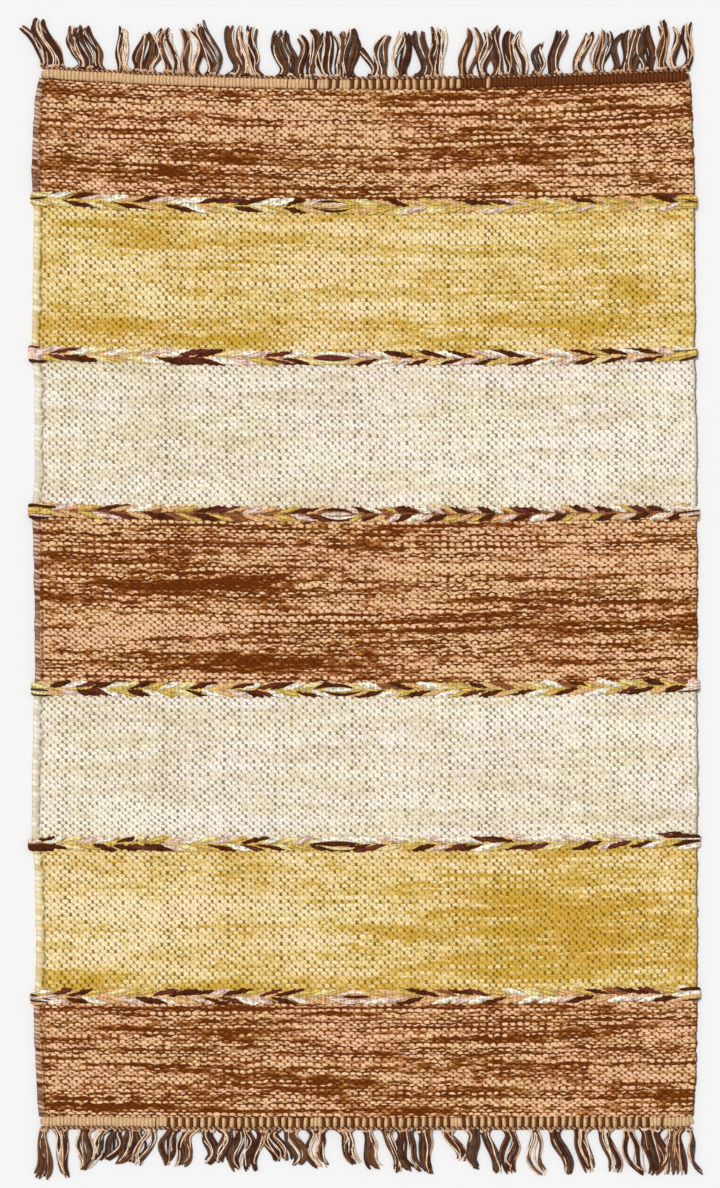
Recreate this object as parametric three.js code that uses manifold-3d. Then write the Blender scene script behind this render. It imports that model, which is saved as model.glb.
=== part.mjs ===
// A flat-woven cotton dhurrie rug, 600 x 950 mm without its fringes, lying flat.
// The weft-faced ground is one cloth. Six twined braids cross it and loop round its selvedges,
// a ribbed heading cord closes each end, and tufts of warp ends hang from a locking twist
// beyond each heading. Millimetres, +Z up, origin at the middle of the ground's underside.
import * as THREE from "three";
import { mergeVertices } from "three/addons/utils/BufferGeometryUtils.js";
import Module from "manifold-3d";

const wasm = await Module();
wasm.setup();

// ---- Driving sizes -------------------------------------------------------------------------

const GAP = 0.3; // between pieces that touch
const CLOTH = 5; // thickness of the woven ground
const SELVEDGE_DROP = 1.2; // the ground's top is this much lower at its very edges
const SELVEDGE_ROUND = 2.5; // width over which it drops
const GROUND_COLUMNS = 12; // steps of the ground across its width

const WEB = { low: 1.5, high: 2.8, inset: 2 }; // the warp-thick cloth that passes inside a braid
const BRAID = {
  wide: 14.5, // along the warp
  valley: 5.4, // height between two ridges
  crest: 7, // height of a ridge
  loop: 3, // reach of its end loops past the selvedges
  chevrons: 22, // ridges from selvedge to selvedge in each of its two rows
  tip: 0.62, // share of its width at the ends of the loops
};

const HEADING = {
  wide: 8.6, // along the warp
  high: 6.2,
  shoulder: 3.4, // height of its sides
  steps: 24,
  inset: 1, // shorter than the ground at each side
};

const TWIST = { wide: 2.6, high: 3 }; // the locking twist that the tufts hang from
const STRAND = {
  pitch: 3.6, // of the roots in a tuft
  share: 0.72, // of the pitch that a strand fills, so that strands stand apart
  high: 2.4,
  tipHigh: 1.5,
  sink: 1.2, // reach of a root into the locking twist
  steps: 3,
};

// The weft lines that shape the rug, from the far end to the near one. y is at mid-width, and the
// line's ends curve up from there by riseLeft and riseRight. left and right are its selvedges.
const LINES = [
  { name: "far", y: 462.5, riseLeft: 10.5, riseRight: 8, left: -295, right: 295 },
  { name: "braid_1", y: 356, riseLeft: 8, riseRight: 4.4, left: -300, right: 298.5 },
  { name: "braid_2", y: 218.7, riseLeft: 4.6, riseRight: 4, left: -302, right: 298.5 },
  { name: "braid_3", y: 77.6, riseLeft: 4.2, riseRight: 2.2, left: -302, right: 300.2 },
  { name: "braid_4", y: -81.5, riseLeft: 2.2, riseRight: 5, left: -299.5, right: 300.2 },
  { name: "braid_5", y: -220.8, riseLeft: 0.6, riseRight: 5, left: -302, right: 301 },
  { name: "braid_6", y: -359, riseLeft: 0.5, riseRight: 3, left: -300.2, right: 301 },
  { name: "near", y: -468.5, riseLeft: 1, riseRight: 1, left: -295.5, right: 297.5 },
];

// The stripes between those lines, and how far each one's selvedges draw in at mid-length.
const STRIPES = [
  { waistLeft: -3.5, waistRight: -0.5 },
  { waistLeft: 0.5, waistRight: -1 },
  { waistLeft: 3, waistRight: -1.2 },
  { waistLeft: 1.2, waistRight: -1 },
  { waistLeft: -0.3, waistRight: -1 },
  { waistLeft: 3, waistRight: -0.3 },
  { waistLeft: -1, waistRight: -1 },
];
const STRIPE_STATIONS = [0, 0.15, 0.5, 0.85, 1]; // where the ground has a row in a stripe

// The tufts, from left to right: the middle of each root, the sideways lean of its tip, its
// length, and its width at the root and at the tip.
const FAR_TUFTS = [
  { at: -284.5, lean: -16.5, long: 41, wide: 17.5, fan: 26 },
  { at: -250, lean: -10, long: 38, wide: 25, fan: 22 },
  { at: -217, lean: -2, long: 39, wide: 12.5, fan: 8 },
  { at: -200, lean: 3, long: 34, wide: 19.5, fan: 12 },
  { at: -175, lean: -5, long: 39, wide: 17, fan: 10.5 },
  { at: -157, lean: -5, long: 40, wide: 14, fan: 14 },
  { at: -140, lean: -9, long: 47, wide: 10, fan: 6 },
  { at: -109, lean: -3, long: 43, wide: 30, fan: 29 },
  { at: -72, lean: -3, long: 40, wide: 16, fan: 16 },
  { at: -59, lean: 0, long: 37, wide: 7, fan: 6.5 },
  { at: -49, lean: 1, long: 41, wide: 11, fan: 9.5 },
  { at: -34, lean: -2, long: 40, wide: 11, fan: 12.5 },
  { at: -24, lean: 1, long: 39, wide: 6.5, fan: 11.5 },
  { at: -14, lean: 2.5, long: 42, wide: 11.5, fan: 9 },
  { at: 5, lean: -8.5, long: 25, wide: 5, fan: 5 },
  { at: 14, lean: 5, long: 37, wide: 11, fan: 13 },
  { at: 32, lean: 3.5, long: 41, wide: 13, fan: 9 },
  { at: 51, lean: -3.5, long: 41, wide: 12.5, fan: 12 },
  { at: 65, lean: 0, long: 44, wide: 12.5, fan: 17 },
  { at: 92, lean: 5.5, long: 43, wide: 12, fan: 12 },
  { at: 108, lean: 3, long: 41, wide: 8, fan: 12 },
  { at: 120, lean: 0.5, long: 43, wide: 11, fan: 5.5 },
  { at: 133, lean: -1, long: 40, wide: 10.5, fan: 8 },
  { at: 143, lean: -2, long: 39, wide: 7.5, fan: 6 },
  { at: 155, lean: 6, long: 29, wide: 8, fan: 6 },
  { at: 173, lean: 6, long: 39, wide: 12, fan: 15 },
  { at: 194, lean: 10, long: 37, wide: 12, fan: 9.5 },
  { at: 212, lean: 5, long: 38, wide: 11, fan: 13.5 },
  { at: 229, lean: 7.5, long: 36, wide: 12, fan: 10 },
  { at: 243, lean: 3.5, long: 38, wide: 11.5, fan: 8 },
  { at: 255, lean: 0, long: 41, wide: 10.5, fan: 6 },
  { at: 269.5, lean: -0.5, long: 43, wide: 12, fan: 11 },
  { at: 280, lean: 0, long: 37, wide: 6.5, fan: 8 },
  { at: 289, lean: 5, long: 40, wide: 8.5, fan: 12 },
];
const NEAR_TUFTS = [
  { at: -291, lean: -2, long: 44, wide: 4.5, fan: 16 },
  { at: -277, lean: 5, long: 42, wide: 13, fan: 8 },
  { at: -252, lean: -3, long: 37, wide: 12, fan: 10.5 },
  { at: -234.5, lean: -11, long: 28, wide: 12, fan: 7 },
  { at: -223.5, lean: -11, long: 27, wide: 7, fan: 12.5 },
  { at: -210, lean: -10, long: 30, wide: 15, fan: 14 },
  { at: -195, lean: -11, long: 31, wide: 11, fan: 11 },
  { at: -173, lean: -7, long: 31, wide: 10, fan: 7 },
  { at: -158, lean: -10, long: 32, wide: 15.5, fan: 15 },
  { at: -143, lean: 1, long: 30, wide: 12.5, fan: 7 },
  { at: -128, lean: -5, long: 29, wide: 12, fan: 8 },
  { at: -112, lean: -0.5, long: 36, wide: 14, fan: 19.5 },
  { at: -94, lean: -4.5, long: 36, wide: 11.5, fan: 6.5 },
  { at: -82, lean: 6, long: 27, wide: 11.5, fan: 18.5 },
  { at: -67, lean: 6, long: 32, wide: 13, fan: 10.5 },
  { at: -44, lean: 5, long: 33, wide: 17, fan: 15 },
  { at: -19, lean: 11, long: 30, wide: 15, fan: 14 },
  { at: 2, lean: 9, long: 34, wide: 9, fan: 14 },
  { at: 21, lean: 8, long: 37, wide: 12, fan: 8.5 },
  { at: 36, lean: 8, long: 36, wide: 15, fan: 19.5 },
  { at: 53, lean: 5.5, long: 38, wide: 14, fan: 8 },
  { at: 75, lean: 11, long: 27, wide: 11, fan: 11 },
  { at: 97, lean: 3, long: 34, wide: 12.5, fan: 8 },
  { at: 109, lean: 10, long: 38, wide: 9.5, fan: 8 },
  { at: 130, lean: 2, long: 38, wide: 11, fan: 15 },
  { at: 153, lean: 9, long: 39, wide: 7, fan: 10 },
  { at: 172, lean: 12, long: 39, wide: 11, fan: 9 },
  { at: 197, lean: 7, long: 38, wide: 14, fan: 8.5 },
  { at: 218, lean: 8, long: 38, wide: 13, fan: 17 },
  { at: 238, lean: 14.5, long: 40, wide: 10, fan: 5 },
  { at: 259, lean: 2.5, long: 40, wide: 19, fan: 10.5 },
  { at: 282, lean: 0, long: 40, wide: 15, fan: 22 },
  { at: 293, lean: 11, long: 41, wide: 4.5, fan: 7 },
];

// ---- Where the cloth lies ------------------------------------------------------------------

const lerp = THREE.MathUtils.lerp;

// The values of the lines table at a mid-width position y, mixed from the lines either side.
function lineAt(y) {
  let i = 0;
  while (i < LINES.length - 2 && y < LINES[i + 1].y) i += 1;
  const [a, b] = [LINES[i], LINES[i + 1]];
  const t = THREE.MathUtils.clamp((y - a.y) / (b.y - a.y), 0, 1);
  const mixed = (key) => lerp(a[key], b[key], t);
  const draw = 1 - (2 * t - 1) ** 4; // full over most of the stripe, none at its braids
  return {
    riseLeft: mixed("riseLeft"),
    riseRight: mixed("riseRight"),
    left: mixed("left") + STRIPES[i].waistLeft * draw,
    right: mixed("right") - STRIPES[i].waistRight * draw,
  };
}

// y at a place x of the weft line that crosses mid-width at y, with the rises of line.
function along(y, x, line = lineAt(y)) {
  const rise = x < 0 ? line.riseLeft : line.riseRight;
  return y + rise * (x / 300) ** 2;
}

// ---- Shapes --------------------------------------------------------------------------------

// A closed solid through loops of points, one loop for each section and all of one length. The
// two halves of a loop mirror each other, so its cap is the ladder between them. A quad is split
// along its higher diagonal, so ridges stay sharp.
function loft(loops) {
  const size = loops[0].length;
  const points = loops.flat();
  const height = (a, b) => points[a][2] + points[b][2];
  const faces = [];
  for (let i = 0; i < loops.length - 1; i += 1) {
    for (let k = 0; k < size; k += 1) {
      const a = i * size + k;
      const b = i * size + ((k + 1) % size);
      const [c, d] = [b + size, a + size];
      if (height(a, c) >= height(b, d)) faces.push([a, b, c], [a, c, d]);
      else faces.push([a, b, d], [b, c, d]);
    }
  }
  const ladder = [];
  for (let k = 0; k < size - 2 - k; k += 1) {
    const [a, b, c, d] = [k, k + 1, size - 2 - k, size - 1 - k];
    ladder.push([a, c, d]);
    if (b !== c) ladder.push([a, b, c]);
  }
  const last = (loops.length - 1) * size;
  faces.push(...ladder.map(([a, b, c]) => [a, c, b]));
  faces.push(...ladder.map(([a, b, c]) => [last + a, last + b, last + c]));
  return facingOut(points, faces);
}

// A geometry whose faces point out, whichever way its loops ran.
function facingOut(points, faces) {
  const volume = faces.reduce((sum, [a, b, c]) => {
    const [p, q, r] = [points[a], points[b], points[c]].map((v) => new THREE.Vector3(...v));
    return sum + p.dot(q.cross(r)) / 6;
  }, 0);
  const index = volume > 0 ? faces.flat() : faces.map(([a, b, c]) => [a, c, b]).flat();
  return new THREE.BufferGeometry()
    .setAttribute("position", new THREE.Float32BufferAttribute(points.flat(), 3))
    .setIndex(index);
}

// A geometry as a solid that can be cut and joined.
function solidOf(geometry) {
  const merged = mergeVertices(geometry);
  return new wasm.Manifold(
    new wasm.Mesh({
      numProp: 3,
      vertProperties: merged.attributes.position.array,
      triVerts: new Uint32Array(merged.index.array),
    }),
  );
}

// A cut or joined solid as a geometry again.
function geometryOf(solid) {
  const { vertProperties, triVerts } = solid.getMesh();
  return new THREE.BufferGeometry()
    .setAttribute("position", new THREE.BufferAttribute(vertProperties, 3))
    .setIndex(new THREE.BufferAttribute(triVerts, 1));
}

// ---- Pieces --------------------------------------------------------------------------------

// The x stations of a row, closer together at its two selvedges.
function stationsOf(left, right) {
  const inner = Array.from({ length: GROUND_COLUMNS + 1 }, (_, i) =>
    lerp(left + SELVEDGE_ROUND, right - SELVEDGE_ROUND, i / GROUND_COLUMNS),
  );
  return [left, ...inner, right];
}

// One row of the ground as a loop: its top from left to right, then its underside back. line
// gives the row's curve and its selvedges.
function groundLoop(y, line, { low, high, inset, drop }) {
  const stations = stationsOf(line.left + inset, line.right - inset);
  const edge = (i) => (i === 0 || i === stations.length - 1 ? drop : 0);
  const top = stations.map((x, i) => [x, along(y, x, line), high - edge(i)]);
  const under = stations.map((x) => [x, along(y, x, line), low]);
  return [...top, ...under.reverse()];
}

// The ground: seven stripes at full thickness, and a thin web inside each braid.
function wovenGround() {
  const full = { low: 0, high: CLOTH, inset: 0, drop: SELVEDGE_DROP };
  const web = { ...WEB, drop: 0 };
  const half = BRAID.wide / 2 + GAP;
  const loops = [];
  STRIPES.forEach((_, i) => {
    const [far, near] = [LINES[i], LINES[i + 1]];
    const start = far.y - (i === 0 ? 0 : half);
    const stop = near.y + (i === STRIPES.length - 1 ? 0 : half);
    if (i > 0) loops.push(groundLoop(start, far, web));
    for (const t of STRIPE_STATIONS) {
      const y = lerp(start, stop, t);
      const line = t === 0 ? far : t === 1 ? near : lineAt(y);
      loops.push(groundLoop(y, line, full));
    }
    if (i < STRIPES.length - 1) loops.push(groundLoop(stop, near, web));
  });
  return loft(loops);
}

// A twined braid. Its two rows of slanting ridges meet in chevrons that point outwards from
// mid-width, where they turn about and leave an eye. It closes round the web as a flat ring.
function braid(line) {
  const left = line.left - BRAID.loop;
  const right = line.right + BRAID.loop;
  const steps = 2 * BRAID.chevrons;
  const loops = [];
  for (let i = 0; i <= steps; i += 1) {
    const x = lerp(left, right, i / steps);
    const fromMiddle = Math.abs(i - steps / 2);
    const atEnd = i === 0 || i === steps;
    const half = (BRAID.wide / 2) * (atEnd ? BRAID.tip : 1);
    // Moving inwards along a ridge by one step moves it outwards across its row by one place.
    const ridge = (place) => {
      if (atEnd) return BRAID.valley - 1;
      return (fromMiddle + place) % 2 === 0 ? BRAID.crest : BRAID.valley;
    };
    const y = along(line.y, x, line);
    loops.push([
      [x, y + half, 0],
      [x, y + half, ridge(0) - 1.6],
      [x, y + half / 2, ridge(1)],
      [x, y, ridge(0) - 0.8],
      [x, y - half / 2, ridge(1)],
      [x, y - half, ridge(0) - 1.6],
      [x, y - half, 0],
    ]);
  }
  const reach = WEB.inset - GAP;
  const slotEnds = [line.left + reach, line.right - reach];
  const slot = [-1, 1].map((side) => {
    const y = line.y + side * BRAID.wide;
    const stations = Array.from({ length: steps / 2 + 1 }, (_, i) =>
      lerp(slotEnds[0], slotEnds[1], i / (steps / 2)),
    );
    const bend = (x) => along(line.y, x, line) - line.y;
    const top = stations.map((x) => [x, y + bend(x), WEB.high + GAP]);
    const under = stations.map((x) => [x, y + bend(x), WEB.low - GAP]);
    return [...top, ...under.reverse()];
  });
  return geometryOf(solidOf(loft(loops)).subtract(solidOf(loft(slot))));
}

// A heading cord, lying just outside the ground's end. outward is 1 far and -1 near.
function heading(line, outward) {
  const left = line.left + HEADING.inset;
  const right = line.right - HEADING.inset;
  const loops = Array.from({ length: HEADING.steps + 1 }, (_, i) => {
    const x = lerp(left, right, i / HEADING.steps);
    const inner = along(line.y, x, line) + outward * GAP;
    const place = (share) => inner + outward * share * HEADING.wide;
    return [
      [x, place(0), 0],
      [x, place(0), HEADING.shoulder],
      [x, place(0.25), HEADING.high - 0.6],
      [x, place(0.5), HEADING.high],
      [x, place(0.75), HEADING.high - 0.6],
      [x, place(1), HEADING.shoulder],
      [x, place(1), 0],
    ];
  });
  return loft(loops);
}

// One strand of a tuft, k of count, as a three-sided taper that rests on its flat base.
function strand(tuft, index, k, count, root, outward) {
  const side = count === 1 ? 0 : (k / (count - 1)) * 2 - 1;
  const long = tuft.long * (1 - 0.05 * (1 + Math.sin(2.4 * k + index)));
  const sway = 0.7 * Math.sin(1.7 * index);
  const loops = Array.from({ length: STRAND.steps }, (_, i) => {
    const t = i / (STRAND.steps - 1);
    const spread = lerp(tuft.wide, tuft.fan, t);
    const pitch = spread / count;
    const half = (pitch * STRAND.share) / 2;
    const x =
      tuft.at +
      (side * (spread - pitch)) / 2 +
      tuft.lean * t * t * (2 - t) +
      sway * Math.sin(Math.PI * t);
    const y = root(tuft.at) + outward * (t * long - (i === 0 ? STRAND.sink : 0));
    return [
      [x - half, y, 0],
      [x + half, y, 0],
      [x, y, lerp(STRAND.high, STRAND.tipHigh, t)],
    ];
  });
  return loft(loops);
}

// A fringe: the locking twist just outside the heading, and the tufts fused into it.
function fringe(line, tufts, outward) {
  const left = line.left + HEADING.inset;
  const right = line.right - HEADING.inset;
  const inner = (x) => along(line.y, x, line) + outward * (2 * GAP + HEADING.wide);
  const twist = Array.from({ length: GROUND_COLUMNS + 1 }, (_, i) => {
    const x = lerp(left, right, i / GROUND_COLUMNS);
    const outer = inner(x) + outward * TWIST.wide;
    return [
      [x, inner(x), 0],
      [x, inner(x), TWIST.high - 0.8],
      [x, (inner(x) + outer) / 2, TWIST.high],
      [x, outer, TWIST.high - 0.8],
      [x, outer, 0],
    ];
  });
  const root = (x) => inner(x) + outward * TWIST.wide;
  let whole = solidOf(loft(twist));
  tufts.forEach((tuft, index) => {
    const count = Math.max(2, Math.round(tuft.wide / STRAND.pitch));
    for (let k = 0; k < count; k += 1) {
      whole = whole.add(solidOf(strand(tuft, index, k, count, root, outward)));
    }
  });
  return geometryOf(whole);
}

// ---- The rug -------------------------------------------------------------------------------

const cotton = (color) =>
  new THREE.MeshStandardMaterial({ color, roughness: 0.92, metalness: 0, flatShading: true });
const groundCotton = cotton("#d3b584");
const braidCotton = cotton("#a06a4a");
const headingCotton = cotton("#b07e50");
const fringeCotton = cotton("#5a3a2c");

const rug = new THREE.Group();
function addPiece(name, geometry, material) {
  const mesh = new THREE.Mesh(geometry, material);
  mesh.name = name;
  rug.add(mesh);
}

const [farEnd, nearEnd] = [LINES[0], LINES.at(-1)];
addPiece("woven_ground", wovenGround(), groundCotton);
for (const line of LINES.slice(1, -1)) addPiece(line.name, braid(line), braidCotton);
addPiece("heading_far", heading(farEnd, 1), headingCotton);
addPiece("heading_near", heading(nearEnd, -1), headingCotton);
addPiece("fringe_far", fringe(farEnd, FAR_TUFTS, 1), fringeCotton);
addPiece("fringe_near", fringe(nearEnd, NEAR_TUFTS, -1), fringeCotton);

export default rug;
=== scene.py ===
"""A flat-woven cotton dhurrie rug, laid flat, with twined braids, heading cords and fringes."""

import math

import bpy
import numpy as np
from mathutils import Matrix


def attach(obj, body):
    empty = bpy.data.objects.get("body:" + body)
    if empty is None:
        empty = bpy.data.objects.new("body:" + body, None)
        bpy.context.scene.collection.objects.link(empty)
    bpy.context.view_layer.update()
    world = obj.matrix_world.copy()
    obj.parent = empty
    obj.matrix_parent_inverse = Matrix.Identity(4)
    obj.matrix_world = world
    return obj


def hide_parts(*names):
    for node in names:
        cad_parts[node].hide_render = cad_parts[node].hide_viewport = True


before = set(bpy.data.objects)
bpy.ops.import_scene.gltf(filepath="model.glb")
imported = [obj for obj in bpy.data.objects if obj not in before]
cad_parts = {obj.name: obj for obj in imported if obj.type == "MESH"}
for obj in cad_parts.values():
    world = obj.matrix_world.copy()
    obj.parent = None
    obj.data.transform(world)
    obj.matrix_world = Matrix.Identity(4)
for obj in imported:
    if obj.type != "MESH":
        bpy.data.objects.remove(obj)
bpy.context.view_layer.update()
MM = 0.001

# ---- The woven ground ------------------------------------------------------------------------
# One weft-faced cotton cloth in seven stripes. Thick soft wefts, dyed in patches along the yarn,
# run back and forth over and under thin warps and hide them, packed down like courses of bricks.
# The rows bow a little, and the selvedges draw in between the braids.

# The weft lines from the far end to the near one, mm: y at mid-width, how far the line's left and
# right ends rise from there, and its left and right selvedges. The braids lie on lines 1 to 6.
LINES = np.array([
    (462.5, 10.5, 8.0, -295.0, 295.0),
    (356.0, 8.0, 4.4, -300.0, 298.5),
    (218.7, 4.6, 4.0, -302.0, 298.5),
    (77.6, 4.2, 2.2, -302.0, 300.2),
    (-81.5, 2.2, 5.0, -299.5, 300.2),
    (-220.8, 0.6, 5.0, -302.0, 301.0),
    (-359.0, 0.5, 3.0, -300.2, 301.0),
    (-468.5, 1.0, 1.0, -295.5, 297.5),
])
HALF_WIDTH = 300.0  # where the rises of a line's ends are taken, mm from mid-width
# How far each stripe's left and right selvedges draw in at mid-length, mm.
WAISTS = np.array([
    (-3.5, -0.5), (0.5, -1.0), (3.0, -1.2), (1.2, -1.0), (-0.3, -1.0), (3.0, -0.3), (-1.0, -1.0)
])
WARPS = 177
CLOTH = 5.0  # height of the crests, mm
RELIEF = 1.6  # depth of the pits between crests, mm
FLATTEN = 1.75  # how much faster a float falls off across itself than along itself
SLANT = 0.32  # how far the floats lean with the twist of their yarn
ROUNDNESS = 0.55  # power that rounds a float's crest
PICK_STEPS, WARP_STEPS = (0.86, 1.14), (0.9, 1.1)  # the closest and the widest packing of each
SWAY_X, SWAY_Y, SWAY_Z = 0.7, 1.0, 0.3  # how far warps, picks and the cloth's top wander, mm
SWAY_X_PARTS, SWAY_Y_PARTS, SWAY_Z_PARTS = (9, 26), (4, 22), (3, 9)  # of a stripe's length, width
STRAY_X, STRAY_Y, STRAY_Z = 0.75, 0.8, 0.45  # how far each float strays from there, mm
LEFT_SWAY, RIGHT_SWAY = 0.5, 0.8  # how far the selvedges wander, mm
SIDE_FADE = 1 / 30  # the share of the width over which x's wandering fades at the selvedges
UNDERSIDE = 1.1  # depth of the pits on the underside, mm
DIP, DIP_REACH = 1.3, 4.0  # how deep the cloth dips beside a braid, and over what length, mm
EDGE_CORD, CORD_VARIES = 5.8, 0.14  # width of the left selvedge's cord, mm, and its uneven share
EDGE_WRAP = 1.5  # picks to each wrap of the cord
CORD_FOOT, CORD_RISE = 2.2, 3.1  # height of the cord's sides, and its crown's rise above, mm
CORD_BUMPS, WRAP_RELIEF = 0.35, 0.7  # how uneven its height is, and the lines between wraps, mm
GROOVE_DEEP = 1.3  # depth of the groove beside the cord, mm
GROOVE_AT, GROOVE_HALF = 1.15, 0.22  # that groove's place and half width, in cord widths
EDGE_TURN, TURN_DROP = 2.6, 2.2  # over what width the right selvedge turns down, and how far, mm
RIM_LEAST = 0.9  # least height of the top, which keeps the rim off the floor, mm


def line_values(y):
    """The rise left, rise right, left and right at mid-width heights y, mixed between the two lines
    that y is a share t of the way from and to. The waists are full over most of a stripe and fade
    at its ends as 1 - (2t - 1)^4."""
    y = np.asarray(y, float)
    stripe = np.clip(np.searchsorted(-LINES[:, 0], -y, side="right") - 1, 0, len(WAISTS) - 1)
    far, near = LINES[stripe], LINES[stripe + 1]
    t = np.clip((y - far[..., 0]) / (near[..., 0] - far[..., 0]), 0, 1)
    mixed = far + (near - far) * t[..., None]
    drawn = (1 - (2 * t - 1) ** 4)[..., None] * WAISTS[stripe]
    _, rise_left, rise_right, left, right = np.moveaxis(mixed, -1, 0)
    return rise_left, rise_right, left + drawn[..., 0], right - drawn[..., 1]


def lay(x, y):
    """The y at places x of weft lines that cross mid-width at y: y + rise (x / HALF_WIDTH)^2."""
    rise_left, rise_right, _, _ = line_values(y)
    return y + np.where(x < 0, rise_left, rise_right) * (x / HALF_WIDTH) ** 2


def drift(rows, columns, parts, seed):
    """A smooth random field between about -1 and 1 over rows by columns, from random numbers at the
    corners of a coarse grid of so many parts, stretched with cosine steps along each side."""
    coarse = np.random.default_rng(seed).uniform(-1, 1, (parts[0] + 1, parts[1] + 1))

    def stretch(field, count):
        place = np.linspace(0, field.shape[0] - 1, count)
        low = np.minimum(place.astype(int), field.shape[0] - 2)
        part = ((1 - np.cos(np.pi * (place - low))) / 2)[:, None]
        return field[low] * (1 - part) + field[low + 1] * part

    return stretch(stretch(coarse, rows).T, columns).T


def half_steps(count, limits, rng):
    """Places from 0 to 1 of count unevenly packed yarns and of the points midway between them: the
    running sum of random steps between the limits, over its total."""
    steps = np.cumsum(rng.uniform(*limits, count))
    lines = np.concatenate([[0], steps / steps[-1]])
    return np.interp(np.arange(2 * count + 1) / 2, np.arange(count + 1), lines)


def cells(number):
    """The four corners of each cell of a grid of point numbers, in order round the cell."""
    near, far = number[..., :-1, :], number[..., 1:, :]
    return np.stack([near[..., :-1], far[..., :-1], far[..., 1:], near[..., 1:]], axis=-1)


def places(*coordinates):
    """Points from arrays of x, y and z, or of u and v, each stretched to the shape of all."""
    return np.stack(np.broadcast_arrays(*coordinates), axis=-1)


def mesh_piece(name, points, faces, uv, values):
    """A smooth mesh piece from points in mm and each face's list of point numbers, with one UV pair
    and one set of named numbers for each point."""
    mesh = bpy.data.meshes.new(name)
    mesh.from_pydata((np.asarray(points) * MM).tolist(), [], faces)
    mesh.update()
    corners = np.empty(len(mesh.loops), np.int32)
    mesh.loops.foreach_get("vertex_index", corners)
    layer = mesh.uv_layers.new(name="yarn")
    layer.data.foreach_set("uv", np.asarray(uv, np.float32)[corners].ravel())
    for key, numbers in values.items():
        layer = mesh.attributes.new(key, "FLOAT", "POINT")
        layer.data.foreach_set("value", np.asarray(numbers, np.float32).ravel())
    mesh.polygons.foreach_set("use_smooth", np.full(len(mesh.polygons), True))
    piece = bpy.data.objects.new(name, mesh)
    bpy.context.scene.collection.objects.link(piece)
    return piece


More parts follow.
